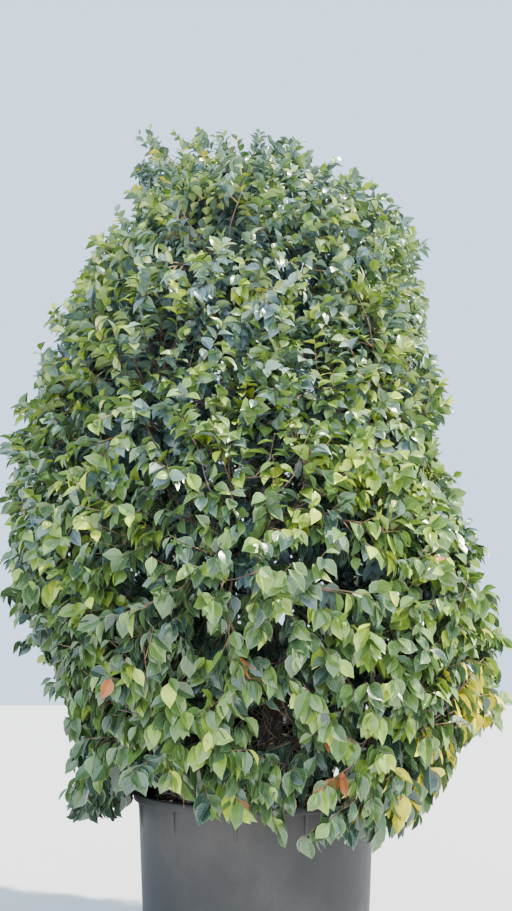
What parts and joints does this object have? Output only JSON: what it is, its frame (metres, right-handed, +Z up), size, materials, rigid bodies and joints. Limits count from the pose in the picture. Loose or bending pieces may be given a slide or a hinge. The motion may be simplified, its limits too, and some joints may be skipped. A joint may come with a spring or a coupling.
{
  "type": "potted camellia",
  "caption": "Tall evergreen shrub with a dense cone of glossy pointed leaves to the rim, on one trunk, in a round tapered grey nursery tub of bark-covered soil.",
  "frame": {"origin": "centre of the tub's flat underside, where it stands on the ground", "axes": "+Z up along the plant; the pictured side faces -Y, with +X to the viewer's right"},
  "size_m": [2.3436, 2.2992, 4.4992],
  "materials": {
    "tub": "matte grey plastic, dusty and scuffed",
    "soil": "brown potting soil under bark chips",
    "bark": "grey-brown, finely furrowed bark",
    "leaves": "glossy leathery leaves, dark to yellow-green"
  },
  "bodies": {
    "root": {"pot": "tub", "soil": "soil", "trunk": "bark", "bough_skirt_1": "bark", "foliage_skirt_1": "leaves", "bough_skirt_2": "bark", "foliage_skirt_2": "leaves", "bough_skirt_3": "bark", "foliage_skirt_3": "leaves", "bough_skirt_4": "bark", "foliage_skirt_4": "leaves", "bough_skirt_5": "bark", "foliage_skirt_5": "leaves", "bough_low_1": "bark", "foliage_low_1": "leaves", "bough_low_2": "bark", "foliage_low_2": "leaves", "bough_low_3": "bark", "foliage_low_3": "leaves", "bough_low_4": "bark", "foliage_low_4": "leaves", "bough_low_5": "bark", "foliage_low_5": "leaves", "bough_middle_1": "bark", "foliage_middle_1": "leaves", "bough_middle_2": "bark", "foliage_middle_2": "leaves", "bough_middle_3": "bark", "foliage_middle_3": "leaves", "bough_middle_4": "bark", "foliage_middle_4": "leaves", "bough_middle_5": "bark", "foliage_middle_5": "leaves", "bough_upper_1": "bark", "foliage_upper_1": "leaves", "bough_upper_2": "bark", "foliage_upper_2": "leaves", "bough_upper_3": "bark", "foliage_upper_3": "leaves", "bough_upper_4": "bark", "foliage_upper_4": "leaves", "bough_shoulder_1": "bark", "foliage_shoulder_1": "leaves", "bough_shoulder_2": "bark", "foliage_shoulder_2": "leaves", "bough_shoulder_3": "bark", "foliage_shoulder_3": "leaves", "foliage_top": "leaves"}
  },
  "joints": []
}
